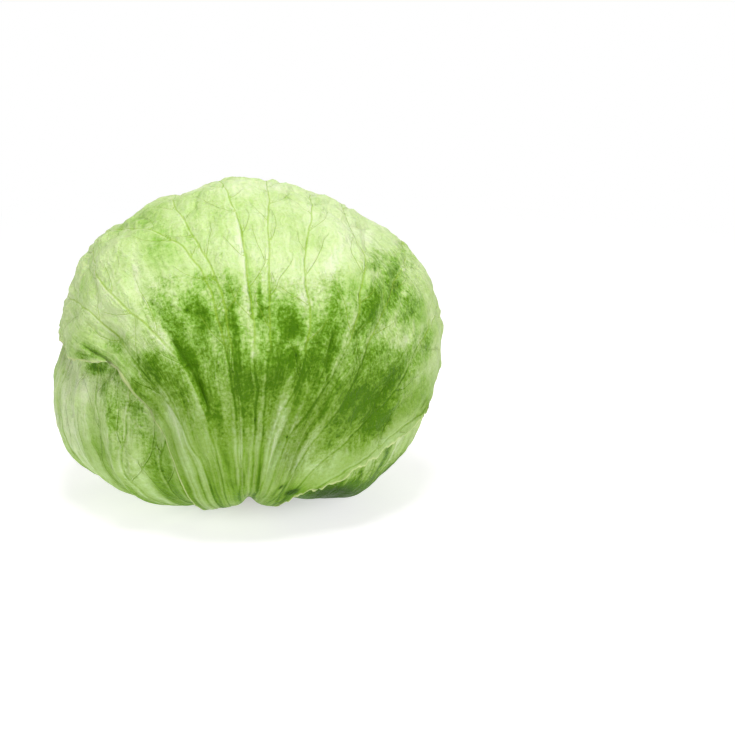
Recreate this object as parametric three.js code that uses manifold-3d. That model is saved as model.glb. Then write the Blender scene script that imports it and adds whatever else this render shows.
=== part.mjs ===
// A whole iceberg lettuce, as picked and trimmed: a short stem, the dense heart of folded inner leaves,
// four cup leaves round the heart and six loose wrapper leaves outside them.
// Units are millimetres, +Z up. The origin is on the surface that the head stands on, under the middle
// of the head, and -Y is the side that shows its broad front leaf.
//
// Every leaf is a thin blade laid on a ball. A place on the ball is a direction from the head's middle,
// and a blade's distance from the middle is worked out from what lies below it, so that leaves which
// overlap never touch.

import * as THREE from "three";
import Module from "manifold-3d";
import { mergeVertices } from "three/addons/utils/BufferGeometryUtils.js";

// Driving dimensions of the head
const HEAD_WIDTH = 168;
const HEAD_DEPTH = 164;
const MIDDLE_HEIGHT = 66;
const CROWN_REACH = 71; // from the middle up to the crown
const BASE_REACH = 64.4; // from the middle down to the leaf bases
const LEAF_THICKNESS = 0.9;
const LEAF_GAP = 1.25;
const RIB_THICKNESS = 2.2;
const STEM_RADIUS = 14;
const CORE_HEIGHT = 46;
const FIT_GAP = 0.4;
const DIMPLE_DEPTH = 5;
const DIMPLE_SPREAD = 17; // degrees from straight down
const HEART_CLEARANCE = 1.6;

const DEGREE = Math.PI / 180;
const COLOURS = { outer: 0x9ac463, inner: 0xcfe39b, heart: 0xe3ecb4, stem: 0xe9ead0 };

const wasm = await Module();
wasm.setup();

// 0 at start and 1 at end, with a smooth way between them. start may be the larger.
function smooth(start, end, x) {
  const t = THREE.MathUtils.clamp((x - start) / (end - start), 0, 1);
  return t * t * (3 - 2 * t);
}

const bell = (x, width) => Math.exp(-((x / width) ** 2));

// The outside of the ball

// Swellings and hollows of the whole head: azimuth and height angle of the middle, spread and height.
const SWELLINGS = [
  { azimuth: 192, above: -22, spread: 20, height: 3.5 },
  { azimuth: 218, above: -40, spread: 20, height: 4 },
  { azimuth: 196, above: 3, spread: 14, height: -4.5 },
  { azimuth: 178, above: 34, spread: 20, height: -3.5 },
  { azimuth: 2, above: 44, spread: 26, height: -6 },
  { azimuth: -86, above: -56, spread: 10, height: -3 },
  { azimuth: 60, above: -20, spread: 30, height: 2 },
  { azimuth: 157, above: 57, spread: 13, height: -5 },
  { azimuth: 175, above: 20, spread: 13, height: -3 },
  { azimuth: 10, above: 31, spread: 16, height: 4.5 },
  { azimuth: -21, above: -50, spread: 14, height: 4 },
];

function direction(azimuth, above) {
  const flat = Math.cos(above * DEGREE);
  return new THREE.Vector3(
    flat * Math.cos(azimuth * DEGREE),
    flat * Math.sin(azimuth * DEGREE),
    Math.sin(above * DEGREE),
  );
}

const swellings = SWELLINGS.map((s) => ({ ...s, middle: direction(s.azimuth, s.above) }));

// Distance from the middle to the outside of the head: round above, and squarer below where it
// stands, with a dimple round the stem.
function headRadius(d) {
  const low = smooth(0.2, -0.5, d.z);
  const power = 2 + 0.6 * low;
  const height = CROWN_REACH + (BASE_REACH - CROWN_REACH) * low;
  const flat = Math.hypot(d.x / (HEAD_WIDTH / 2), d.y / (HEAD_DEPTH / 2));
  let r = (flat ** power + (Math.abs(d.z) / height) ** power) ** (-1 / power);
  for (const s of swellings) r += s.height * bell(d.angleTo(s.middle) / DEGREE, s.spread);
  const fromBelow = Math.acos(THREE.MathUtils.clamp(-d.z, -1, 1)) / DEGREE;
  return r - DIMPLE_DEPTH * bell(fromBelow, DIMPLE_SPREAD);
}

// Leaves

// A leaf is drawn flat, in degrees of arc on the ball: x to its right and y towards its tip. azimuth
// and above say where the flat drawing's origin lies on the ball.
function leafFrame(azimuth, above) {
  const middle = direction(azimuth, above);
  const up = direction(azimuth, above + 90);
  return { middle, up, right: new THREE.Vector3().crossVectors(up, middle) };
}

function toBall(frame, x, y) {
  const arc = Math.hypot(x, y);
  const turn = arc * DEGREE;
  const side = arc > 1e-9 ? Math.sin(turn) / arc : DEGREE;
  return new THREE.Vector3()
    .addScaledVector(frame.middle, Math.cos(turn))
    .addScaledVector(frame.right, side * x)
    .addScaledVector(frame.up, side * y);
}

function toFlat(frame, d) {
  const arc = Math.acos(THREE.MathUtils.clamp(d.dot(frame.middle), -1, 1)) / DEGREE;
  const across = d.dot(frame.right);
  const along = d.dot(frame.up);
  const size = Math.hypot(across, along) || 1;
  return [(arc * across) / size, (arc * along) / size];
}

// The outline of an ordinary leaf: u runs from one side margin (-1) to the other (1), and w from the
// base (0) to the tip margin (1). lobe is how far its margin swings in and out.
function fanOutline({ base, width, foot, length, round, lobe, phase }) {
  return (u, w) => {
    const side = lobe * Math.sin(17 * w + phase) * smooth(0.4, 0.8, w) * Math.abs(u) ** 3;
    const tip = lobe * Math.sin(12 * u + phase) * w ** 4;
    const spread = base + (width - base) * Math.sin((Math.PI / 2) * w ** 0.85);
    return [u * (spread + side), foot + length * w * (1 - round * u * u) + tip];
  };
}

// The broad front leaf follows five guide lines, one along each side margin and three along its main
// ribs, as it lies in the picture plane of someone who stands in front of the head.
const FRONT_GUIDES = [
  [[-10, -101], [-13, -77], [-14.5, -52], [-19.5, -31], [-26, -17], [-34, -7], [-56, -5], [-92, 10]],
  [[-6, -101], [-5, -78], [-10, -31], [-18, -9], [-28, 6], [-44, 22], [-63, 46], [-74, 66]],
  [[0, -101], [2, -60], [3, -32], [3, -8], [2, 14], [-3, 45], [-8, 76], [-12, 108]],
  [[6, -101], [8, -60], [17, -27], [27, -4], [33, 12], [37, 32], [43, 62], [56, 92]],
  [[10, -101], [12, -74], [15, -54], [27, -47], [42, -38.5], [60, -33], [80, -22], [98, -2]],
];

function guidedOutline(guides) {
  const curves = guides.map(
    (points) =>
      new THREE.CatmullRomCurve3(
        points.map(([x, y]) => new THREE.Vector3(x, y, 0)),
        false,
        "centripetal",
      ),
  );
  const places = guides.map((_, i) => (2 * i) / (guides.length - 1) - 1);
  return (u, w) => {
    const sum = [0, 0];
    curves.forEach((curve, i) => {
      // Lagrange's weights pass one smooth line through the guides at this height.
      const weight = places.reduce((p, q, j) => (j === i ? p : (p * (u - q)) / (places[i] - q)), 1);
      const at = curve.getPoint(w);
      sum[0] += weight * at.x;
      sum[1] += weight * at.y;
    });
    return sum;
  };
}

const FOOT_ANGLE = 6; // degrees from straight down to where a leaf starts, inside the stem
const EDGE_STEPS = 26;
const DRAPE = 22; // mm over which an upper leaf comes down past the margin of the one below
const RIM_COVER = 2.5;

function makeLeaf(spec) {
  const frame = leafFrame(spec.azimuth, spec.above);
  const foot = -(90 + spec.above - FOOT_ANGLE);
  const outline = spec.guides
    ? guidedOutline(spec.guides)
    : fanOutline({ ...spec, foot });
  const edge = [];
  for (let i = 0; i < EDGE_STEPS; i++) edge.push(outline(-1, i / EDGE_STEPS));
  for (let i = 0; i < EDGE_STEPS; i++) edge.push(outline((2 * i) / EDGE_STEPS - 1, 1));
  for (let i = EDGE_STEPS; i > 0; i--) edge.push(outline(1, i / EDGE_STEPS));
  const edgeOnBall = edge.map(([x, y]) => toBall(frame, x, y));
  return { ...spec, frame, foot, outline, edge, edgeOnBall };
}

function isInside([x, y], edge) {
  let inside = false;
  edge.forEach(([ax, ay], i) => {
    const [bx, by] = edge[(i + 1) % edge.length];
    if (ay > y !== by > y && x < ax + ((y - ay) * (bx - ax)) / (by - ay)) inside = !inside;
  });
  return inside;
}

// Distance along the ball from a direction to the leaf's margin in mm, positive inside the leaf.
function marginDistance(leaf, d, flat) {
  let least = Infinity;
  const along = new THREE.Vector3();
  const to = new THREE.Vector3();
  leaf.edgeOnBall.forEach((a, i) => {
    const b = leaf.edgeOnBall[(i + 1) % leaf.edgeOnBall.length];
    along.subVectors(b, a);
    const t = THREE.MathUtils.clamp(to.subVectors(d, a).dot(along) / along.lengthSq(), 0, 1);
    least = Math.min(least, to.addScaledVector(along, -t).length());
  });
  const size = least * (HEAD_WIDTH / 2);
  return isInside(flat, leaf.edge) ? size : -size;
}

// The leaf's own form above what it lies on: a margin that stands off in waves, and pleats that fan
// out from its base.
function standOff(leaf, [x, y], inward) {
  const turn = Math.atan2(y, x);
  const wave = 0.5 + 0.5 * Math.sin(leaf.waves * turn + leaf.phase) * Math.cos(3 * turn + leaf.phase);
  const margin = smooth(leaf.flareBand, 0, inward);
  const fan = Math.atan2(x, y - leaf.foot) / DEGREE;
  const pleats = 0.5 + 0.5 * Math.cos((fan / leaf.pleatEvery) * 2 * Math.PI + leaf.phase);
  const up = smooth(12, 60, y - leaf.foot);
  let rise = (leaf.flare * margin * (0.35 + 0.65 * wave) + leaf.pleat * pleats) * up;
  for (const r of leaf.ridges ?? []) rise += r.height * bell(distanceToLine([x, y], r.line), r.width);
  for (const c of leaf.curls ?? []) rise += c.height * bell(Math.hypot(x - c.at[0], y - c.at[1]), c.spread);
  return rise;
}

function distanceToLine([x, y], line) {
  let least = Infinity;
  for (let i = 1; i < line.length; i++) {
    const [ax, ay] = line[i - 1];
    const [bx, by] = [line[i][0] - ax, line[i][1] - ay];
    const t = THREE.MathUtils.clamp(((x - ax) * bx + (y - ay) * by) / (bx * bx + by * by), 0, 1);
    least = Math.min(least, Math.hypot(x - ax - t * bx, y - ay - t * by));
  }
  return least;
}

function thickness(leaf, [x, y]) {
  const up = y - leaf.foot;
  return LEAF_THICKNESS + RIB_THICKNESS * bell(x, 4 + 0.05 * up) * smooth(110, 15, up);
}

// Every leaf's share of the distance from the middle in the direction d. gap is the air under it, room
// is what leaf and air take up, and cover falls from 1 on the leaf to 0 past its margin.
function layersAt(leaves, d) {
  return leaves.map((leaf) => {
    const flat = toFlat(leaf.frame, d);
    const inward = marginDistance(leaf, d, flat);
    const blade = thickness(leaf, flat);
    const rise = standOff(leaf, flat, Math.max(inward, 0));
    const cover = smooth(-DRAPE, -RIM_COVER, inward);
    return { blade, rise, gap: leaf.gap, room: leaf.gap + blade, cover };
  });
}

// The heart fills what the leaves leave free inside the head's outer form.
function heartRadius(d, layers) {
  return layers.reduce((r, layer) => r - layer.cover * layer.room, headRadius(d));
}

// Inner and outer distance from the middle of leaf number k, in the direction d.
function bladeAt(leaves, k, d) {
  const layers = layersAt(leaves, d);
  const below = layers
    .slice(0, k)
    .reduce((r, layer) => r + layer.cover * (layer.room + layer.rise), heartRadius(d, layers));
  const inner = below + layers[k].gap + layers[k].rise;
  return [inner, inner + layers[k].blade];
}

const LEAF_SPECS = [
  cupLeaf("cup_leaf_1", -40, 0.4),
  cupLeaf("cup_leaf_2", 58, 2.1),
  cupLeaf("cup_leaf_3", 138, 3.9),
  cupLeaf("cup_leaf_4", -128, 5.3),
  wrapperLeaf("wrapper_leaf_right", { azimuth: 8, above: 8, width: 66, length: 138, phase: 1.2 }),
  wrapperLeaf("wrapper_leaf_back", { azimuth: 98, above: 10, width: 74, length: 158, phase: 2.6 }),
  wrapperLeaf("wrapper_leaf_left", { azimuth: 176, above: 8, width: 62, length: 140, phase: 4.4 }),
  wrapperLeaf("wrapper_leaf_front_right", { azimuth: -38, above: 2, width: 56, length: 112, phase: 0.3 }),
  wrapperLeaf("wrapper_leaf_front_left", {
    azimuth: -146, above: 4, width: 66, length: 124, phase: 5.1, pleat: 1.6, pleatEvery: 15,
  }),
  {
    ...wrapperLeaf("wrapper_leaf_front", { azimuth: -90, above: 15, phase: 0.9 }),
    guides: FRONT_GUIDES,
    gap: LEAF_GAP + 0.4,
    waves: 13,
    flare: 1.7,
    flareBand: 14,
    pleat: 0.6,
    columns: 26,
    rows: 25,
    ridges: [
      { height: 2.6, width: 6, line: [[-58, 40], [-42, 20], [-27, 6], [-18, -8], [-12, -26]] },
      { height: 1.4, width: 6, line: [[-10, 74], [0, 30], [3, -8], [2, -40]] },
      { height: 1.2, width: 7, line: [[34, 60], [35, 20], [26, -6], [14, -36]] },
    ],
    curls: [
      { at: [-72, 58], height: 3.5, spread: 7 },
      { at: [-50, 80], height: 2.5, spread: 7 },
    ],
  },
];

function cupLeaf(name, azimuth, phase) {
  return {
    name, azimuth, phase, above: 22, width: 70, length: 178, base: 16, round: 0.22, lobe: 1.5,
    gap: LEAF_GAP + 0.6, waves: 7, flare: 0.5, flareBand: 14, pleat: 0.3, pleatEvery: 24,
    columns: 13, rows: 16, colour: COLOURS.inner,
  };
}

function wrapperLeaf(name, own) {
  return {
    name, base: 17, round: 0.25, lobe: 2.8, gap: LEAF_GAP, waves: 12, flare: 2.2, flareBand: 16,
    pleat: 0.7, pleatEvery: 19, columns: 16, rows: 16, colour: COLOURS.outer, ...own,
  };
}

// Solids

// A closed skin over a grid of top points and one of bottom points: both faces are split alike, and a
// rim joins their four sides.
function bladeGeometry(top, bottom, columns, rows) {
  const across = columns + 1;
  const count = across * (rows + 1);
  const place = (i, j) => j * across + i;
  const faces = [];
  for (let j = 0; j < rows; j++)
    for (let i = 0; i < columns; i++) {
      const [a, b, c, e] = [place(i, j), place(i + 1, j), place(i + 1, j + 1), place(i, j + 1)];
      faces.push(a, b, c, a, c, e);
      faces.push(count + a, count + c, count + b, count + a, count + e, count + c);
    }
  const rim = [];
  for (let i = 0; i < columns; i++) rim.push(place(i, 0));
  for (let j = 0; j < rows; j++) rim.push(place(columns, j));
  for (let i = columns; i > 0; i--) rim.push(place(i, rows));
  for (let j = rows; j > 0; j--) rim.push(place(0, j));
  rim.forEach((a, n) => {
    const b = rim[(n + 1) % rim.length];
    faces.push(a, count + a, b, b, count + a, count + b);
  });
  return geometryFrom([...top, ...bottom], faces);
}

function geometryFrom(points, faces) {
  return new THREE.BufferGeometry()
    .setAttribute("position", new THREE.Float32BufferAttribute(points.flatMap((p) => p.toArray()), 3))
    .setIndex(faces);
}

function solidFrom(geometry) {
  const bare = geometry.clone();
  bare.deleteAttribute("normal");
  bare.deleteAttribute("uv");
  const merged = mergeVertices(bare, 1e-4);
  const mesh = new wasm.Mesh({
    numProp: 3,
    vertProperties: merged.attributes.position.array,
    triVerts: new Uint32Array(merged.index.array),
  });
  return new wasm.Manifold(mesh);
}

function geometryOf(solid) {
  const mesh = solid.getMesh();
  return new THREE.BufferGeometry()
    .setAttribute("position", new THREE.Float32BufferAttribute(mesh.vertProperties, 3))
    .setIndex(new THREE.BufferAttribute(mesh.triVerts, 1));
}

const largest = (solid) => solid.decompose().sort((p, q) => q.volume() - p.volume())[0];

function fromMiddle(d, r) {
  return d.clone().multiplyScalar(r).add(new THREE.Vector3(0, 0, MIDDLE_HEIGHT));
}

function leafSolid(leaves, k) {
  const leaf = leaves[k];
  const top = [];
  const bottom = [];
  for (let j = 0; j <= leaf.rows; j++)
    for (let i = 0; i <= leaf.columns; i++) {
      const [x, y] = leaf.outline((2 * i) / leaf.columns - 1, j / leaf.rows);
      const d = toBall(leaf.frame, x, y);
      const [inner, outer] = bladeAt(leaves, k, d);
      top.push(fromMiddle(d, outer));
      bottom.push(fromMiddle(d, inner));
    }
  return solidFrom(bladeGeometry(top, bottom, leaf.columns, leaf.rows));
}

// The stem: the butt with its flat knife cut, narrowing to the core's blunt point inside the heart.
function stemGeometry(grow) {
  const profile = [
    [0, 0], [STEM_RADIUS - 1 + grow, 0], [STEM_RADIUS + grow, 1.2], [STEM_RADIUS + grow, 13],
    [STEM_RADIUS - 1 + grow, 24], [STEM_RADIUS - 4.5 + grow, 36], [STEM_RADIUS - 9.5 + grow, CORE_HEIGHT - 2],
    [0, CORE_HEIGHT + grow],
  ];
  return new THREE.LatheGeometry(profile.map(([x, y]) => new THREE.Vector2(x, y)), 28).rotateX(Math.PI / 2);
}

// The heart: the dense ball of folded inner leaves, with low pleats that run to its crown.
function heartGeometry(leaves) {
  const rings = 17;
  const around = 26;
  const ring = (j) => -90 + (180 * j) / rings;
  const surface = (d) => heartRadius(d, layersAt(leaves, d)) - HEART_CLEARANCE;
  const points = [fromMiddle(direction(0, -90), surface(direction(0, -90)))];
  for (let j = 1; j < rings; j++)
    for (let i = 0; i < around; i++) {
      const azimuth = (360 * i) / around;
      const d = direction(azimuth, ring(j));
      const pleat = 0.8 * Math.cos(5 * azimuth * DEGREE + 0.05 * ring(j)) * smooth(-20, 60, ring(j));
      points.push(fromMiddle(d, surface(d) + pleat));
    }
  points.push(fromMiddle(direction(0, 90), surface(direction(0, 90))));
  const place = (i, j) => 1 + (j - 1) * around + (i % around);
  const faces = [];
  for (let i = 0; i < around; i++) {
    faces.push(0, place(i + 1, 1), place(i, 1));
    for (let j = 1; j < rings - 1; j++)
      faces.push(
        place(i, j), place(i + 1, j), place(i + 1, j + 1),
        place(i, j), place(i + 1, j + 1), place(i, j + 1),
      );
    faces.push(points.length - 1, place(i, rings - 1), place(i + 1, rings - 1));
  }
  return geometryFrom(points, faces);
}

// The whole head

const root = new THREE.Group();

function addMesh(name, geometry, colour, roughness) {
  const material = new THREE.MeshStandardMaterial({ color: colour, roughness, metalness: 0 });
  const mesh = new THREE.Mesh(geometry, material);
  mesh.name = name;
  root.add(mesh);
}

const leaves = LEAF_SPECS.map(makeLeaf);
const socket = solidFrom(stemGeometry(FIT_GAP));

addMesh("stem", geometryOf(solidFrom(stemGeometry(0))), COLOURS.stem, 0.6);
addMesh("heart", geometryOf(largest(solidFrom(heartGeometry(leaves)).subtract(socket))), COLOURS.heart, 0.5);
leaves.forEach((leaf, k) => {
  const blade = largest(leafSolid(leaves, k).subtract(socket));
  addMesh(leaf.name, geometryOf(blade), leaf.colour, 0.45);
});

export default root;
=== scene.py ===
# A whole iceberg lettuce standing on its cut stem: fine leaves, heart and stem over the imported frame.
# Forms are worked out in millimetres, with +Z up and the broad front leaf towards -Y. A mesh's places
# are turned into metres when it is made.

import itertools
import math

import bpy
import numpy as np
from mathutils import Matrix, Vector


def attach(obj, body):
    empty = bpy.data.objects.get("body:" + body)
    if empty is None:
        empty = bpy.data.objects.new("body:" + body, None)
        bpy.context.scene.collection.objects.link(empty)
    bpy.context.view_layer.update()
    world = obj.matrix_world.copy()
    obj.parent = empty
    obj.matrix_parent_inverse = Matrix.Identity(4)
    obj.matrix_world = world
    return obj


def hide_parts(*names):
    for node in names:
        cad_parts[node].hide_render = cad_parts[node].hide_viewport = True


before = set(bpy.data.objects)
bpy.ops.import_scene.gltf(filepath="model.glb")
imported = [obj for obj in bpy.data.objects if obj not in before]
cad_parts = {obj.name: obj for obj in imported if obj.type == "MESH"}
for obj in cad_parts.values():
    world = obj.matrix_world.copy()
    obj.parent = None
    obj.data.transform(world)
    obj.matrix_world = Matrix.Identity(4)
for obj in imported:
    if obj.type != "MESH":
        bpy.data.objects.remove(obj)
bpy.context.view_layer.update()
scene = bpy.context.scene

METRE = 0.001  # metres in a millimetre

# Driving dimensions in mm, the same as the solids have

HEAD_WIDTH = 168
HEAD_DEPTH = 164
MIDDLE_HEIGHT = 66
CROWN_REACH = 71  # from the middle up to the crown
BASE_REACH = 64.4  # from the middle down to the base
LEAF_THICKNESS = 0.9
LEAF_GAP = 1.25
RIB_THICKNESS = 2.2
STEM_RADIUS = 14
CORE_HEIGHT = 46
DIMPLE_DEPTH = 5
DIMPLE_SPREAD = 17  # degrees around the stem
HEART_CLEARANCE = 1.6
FOOT_ANGLE = 6  # degrees between the stem's axis and a leaf's foot
EDGE_STEPS = 26  # steps along each side of a leaf's margin
DRAPE = 22  # how far past a leaf's margin the next one comes down to what lies below
RIM_COVER = 2.5  # how far past its margin a leaf still lifts the next one in full

BALL_RADIUS = HEAD_WIDTH / 2  # of the ball that a leaf's flat drawing is laid on
MM_PER_DEGREE = math.radians(1) * BALL_RADIUS

# Low swellings and hollows of the whole head: azimuth, height above the horizon and spread in degrees,
# and how far they stand out in mm
SWELLINGS = [
    (192, -22, 20, 3.5), (218, -40, 20, 4), (196, 3, 14, -4.5), (178, 34, 20, -3.5),
    (2, 44, 26, -6), (-86, -56, 10, -3), (60, -20, 30, 2), (157, 57, 13, -5),
    (175, 20, 13, -3), (10, 31, 16, 4.5), (-21, -50, 14, 4),
]

# Helpers


def smooth(start, end, x):
    """0 at start and 1 at end, with a smooth way between them. start may be the larger."""
    t = np.clip((x - start) / (end - start), 0, 1)
    return t * t * (3 - 2 * t)


def bell(x, width):
    """1 where x is 0, and less towards both sides."""
    return np.exp(-((x / width) ** 2))


def unit(v):
    return v / np.maximum(np.linalg.norm(v, axis=-1, keepdims=True), 1e-12)


def direction(azimuth, above):
    """The unit vector at an azimuth and a height above the horizon, both in degrees."""
    a, h = math.radians(azimuth), math.radians(above)
    return np.array([math.cos(h) * math.cos(a), math.cos(h) * math.sin(a), math.sin(h)])


DOWN = np.array([0, 0, -1])


def angle_from(d, way):
    """Degrees between the directions d and one way."""
    return np.degrees(np.arccos(np.clip(d @ way, -1, 1)))


# The lattice of the noise, the same each run
CHANCE = np.random.default_rng(20)
SHUFFLE = CHANCE.permutation(256)
SLOPES = unit(CHANCE.normal(size=(256, 3)))


def noise(points):
    """Gradient noise from about -1 to 1 at each point, one lump to a unit."""
    cell = np.floor(points).astype(int)
    part = points - cell
    fade = part**3 * (part * (part * 6 - 15) + 10)
    total = np.zeros(points.shape[:-1])
    for corner in itertools.product((0, 1), repeat=3):
        at = cell + corner
        pick = SHUFFLE[at[..., 0] & 255]
        pick = SHUFFLE[(pick + at[..., 1]) & 255]
        pick = SHUFFLE[(pick + at[..., 2]) & 255]
        share = np.prod(np.where(corner, fade, 1 - fade), axis=-1)
        total += share * np.sum(SLOPES[pick] * (part - corner), axis=-1)
    return 1.7 * total


def rough_noise(points, octaves=3):
    """Noise with ever finer noise on it."""
    return sum(noise(points * 2**n + 17.3 * n) / 2**n for n in range(octaves)) / 1.5


def stack(*parts):
    return np.stack(np.broadcast_arrays(*parts), axis=-1)


# The head's outer form


def head_radius(d):
    """Distance from the middle to the outside: round above, squarer below, with a dimple at the stem."""
    low = smooth(0.2, -0.5, d[..., 2])
    power = 2 + 0.6 * low
    height = CROWN_REACH + (BASE_REACH - CROWN_REACH) * low
    flat = np.hypot(d[..., 0] / (HEAD_WIDTH / 2), d[..., 1] / (HEAD_DEPTH / 2))
    r = (flat**power + (np.abs(d[..., 2]) / height) ** power) ** (-1 / power)
    for azimuth, above, spread, height in SWELLINGS:
        r += height * bell(angle_from(d, direction(azimuth, above)), spread)
    return r - DIMPLE_DEPTH * bell(angle_from(d, DOWN), DIMPLE_SPREAD)


# Leaves, drawn flat in degrees of arc on the ball: x to the leaf's right and y towards its tip


def leaf_frame(azimuth, above):
    """The axes of the flat drawing of a leaf whose middle lies in this direction."""
    middle, up = direction(azimuth, above), direction(azimuth, above + 90)
    return {"middle": middle, "up": up, "right": np.cross(up, middle)}


def to_ball(axes, x, y):
    arc = np.hypot(x, y)
    side = np.where(arc > 1e-9, np.sin(np.radians(arc)) / np.maximum(arc, 1e-9), math.radians(1))
    return (
        np.cos(np.radians(arc))[..., None] * axes["middle"]
        + (side * x)[..., None] * axes["right"]
        + (side * y)[..., None] * axes["up"]
    )


def to_flat(axes, d):
    arc = angle_from(d, axes["middle"])
    across, along = d @ axes["right"], d @ axes["up"]
    size = np.maximum(np.hypot(across, along), 1e-12)
    return arc * across / size, arc * along / size


def fan_outline(spec):
    """u runs from one side margin (-1) to the other (1), and w from the base (0) to the tip (1)."""

    def outline(u, w):
        above = np.maximum(w, 0)
        lobe, phase = spec["lobe"], spec["phase"]
        side = lobe * np.sin(17 * w + phase) * smooth(0.4, 0.8, w) * np.abs(u) ** 3
        tip = lobe * np.sin(12 * u + phase) * above**4
        spread = spec["base"] + (spec["width"] - spec["base"]) * np.sin(np.pi / 2 * above**0.85)
        return u * (spread + side), spec["foot"] + spec["length"] * w * (1 - spec["round"] * u * u) + tip

    return outline


def smooth_line(points):
    """The curve through the points as a function of w from 0 to 1, slowing down at sharp bends."""
    p = np.array(points, float)
    p = np.vstack([2 * p[0] - p[1], p, 2 * p[-1] - p[-2]])
    step = np.sqrt(np.linalg.norm(np.diff(p, axis=0), axis=1))
    pieces = []
    for i in range(1, len(p) - 2):
        a, b, c = step[i - 1 : i + 2]
        start = (p[i] - p[i - 1]) / a - (p[i + 1] - p[i - 1]) / (a + b) + (p[i + 1] - p[i]) / b
        end = (p[i + 1] - p[i]) / b - (p[i + 2] - p[i]) / (b + c) + (p[i + 2] - p[i + 1]) / c
        t0, t1 = start * b, end * b
        rise = p[i + 1] - p[i]
        pieces.append([p[i], t0, 3 * rise - 2 * t0 - t1, t0 + t1 - 2 * rise])
    pieces = np.array(pieces)

    def at(w):
        place = np.asarray(w, float) * len(pieces)
        i = np.clip(np.floor(place).astype(int), 0, len(pieces) - 1)
        t = (place - i)[..., None]
        k = pieces[i]
        return k[..., 0, :] + t * (k[..., 1, :] + t * (k[..., 2, :] + t * k[..., 3, :]))

    return at


def guided_outline(guides):
    """An outline through lines of places that run from base to tip, the left margin's first."""
    curves = [smooth_line(points) for points in guides]
    places = np.linspace(-1, 1, len(guides))

    def outline(u, w):
        total = 0
        for i, curve in enumerate(curves):
            others = np.delete(places, i)
            weight = np.prod([(u - q) / (places[i] - q) for q in others], axis=0)
            total = total + weight[..., None] * curve(w)
        return total[..., 0], total[..., 1]

    return outline


def distance_to_line(x, y, line):
    least = np.full(np.shape(x), np.inf)
    for (ax, ay), (bx, by) in zip(line, line[1:]):
        dx, dy = bx - ax, by - ay
        t = np.clip(((x - ax) * dx + (y - ay) * dy) / (dx * dx + dy * dy), 0, 1)
        least = np.minimum(least, np.hypot(x - ax - t * dx, y - ay - t * dy))
    return least


def is_inside(x, y, edge):
    inside = np.zeros(x.shape, bool)
    for (ax, ay), (bx, by) in zip(edge, np.roll(edge, -1, axis=0)):
        if ay != by:
            crosses = (ay > y) != (by > y)
            inside ^= crosses & (x < ax + (y - ay) * (bx - ax) / (by - ay))
    return inside


def margin_distance(leaf, d, x, y):
    """Distance along the ball to the leaf's margin in mm, positive inside the leaf."""
    starts = leaf["edge_on_ball"]
    along = np.roll(starts, -1, axis=0) - starts
    least = np.full(x.shape, np.inf)
    for a, b in zip(starts, along):
        to = d - a
        t = np.clip(to @ b / (b @ b), 0, 1)
        least = np.minimum(least, np.linalg.norm(to - t[..., None] * b, axis=-1))
    size = least * BALL_RADIUS
    return np.where(is_inside(x, y, leaf["edge"]), size, -size)


def stand_off(leaf, x, y, inward):
    """The leaf's own form above what it lies on: a margin in waves, and pleats that fan out."""
    turn = np.arctan2(y, x)
    wave = 0.5 + 0.5 * np.sin(leaf["waves"] * turn + leaf["phase"]) * np.cos(3 * turn + leaf["phase"])
    margin = smooth(leaf["flare_band"], 0, inward)
    fan = np.degrees(np.arctan2(x, y - leaf["foot"]))
    pleats = 0.5 + 0.5 * np.cos(fan / leaf["pleat_every"] * 2 * np.pi + leaf["phase"])
    up = smooth(12, 60, y - leaf["foot"])
    rise = (leaf["flare"] * margin * (0.35 + 0.65 * wave) + leaf["pleat"] * pleats) * up
    for height, width, line in leaf["ridges"]:
        rise = rise + height * bell(distance_to_line(x, y, line), width)
    for height, spread, (cx, cy) in leaf["curls"]:
        rise = rise + height * bell(np.hypot(x - cx, y - cy), spread)
    return rise


def thickness(leaf, x, y):
    up = y - leaf["foot"]
    return LEAF_THICKNESS + RIB_THICKNESS * bell(x, 4 + 0.05 * up) * smooth(110, 15, up)


# The front leaf from its left margin to its right one, each line from base to tip
FRONT_GUIDES = [
    [(-10, -101), (-13, -77), (-14.5, -52), (-19.5, -31), (-26, -17), (-34, -7), (-56, -5), (-92, 10)],
    [(-6, -101), (-5, -78), (-10, -31), (-18, -9), (-28, 6), (-44, 22), (-63, 46), (-74, 66)],
    [(0, -101), (2, -60), (3, -32), (3, -8), (2, 14), (-3, 45), (-8, 76), (-12, 108)],
    [(6, -101), (8, -60), (17, -27), (27, -4), (33, 12), (37, 32), (43, 62), (56, 92)],
    [(10, -101), (12, -74), (15, -54), (27, -47), (42, -38.5), (60, -33), (80, -22), (98, -2)],
]


def make_leaf(name, azimuth, above, phase, cells, **own):
    """A leaf's form and look. Angles are in degrees, and gaps and heights above the leaf in mm."""
    spec = {
        "name": name, "phase": phase, "cells": cells, "base": 17, "round": 0.25, "lobe": 2.8,
        "length": 200, "gap": LEAF_GAP, "waves": 12, "flare": 2.2, "flare_band": 16, "pleat": 0.7,
        "pleat_every": 19, "ridges": [], "curls": [], "guides": None, "slot": "outer_leaf",
        "streak": 0.4, "pucker": 0.9, "ruffle": 1.7, "tight_below": 0,
    }
    spec.update(own)
    spec["axes"] = leaf_frame(azimuth, above)
    spec["foot"] = -(90 + above - FOOT_ANGLE)
    spec["outline"] = guided_outline(spec["guides"]) if spec["guides"] else fan_outline(spec)
    step = np.arange(EDGE_STEPS) / EDGE_STEPS
    one = np.ones(EDGE_STEPS)
    sides = [(-one, step), (2 * step - 1, one), (one, 1 - step)]
    spec["edge"] = np.vstack([np.stack(spec["outline"](u, w), axis=-1) for u, w in sides])
    spec["edge_on_ball"] = to_ball(spec["axes"], spec["edge"][:, 0], spec["edge"][:, 1])
    return spec


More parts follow.
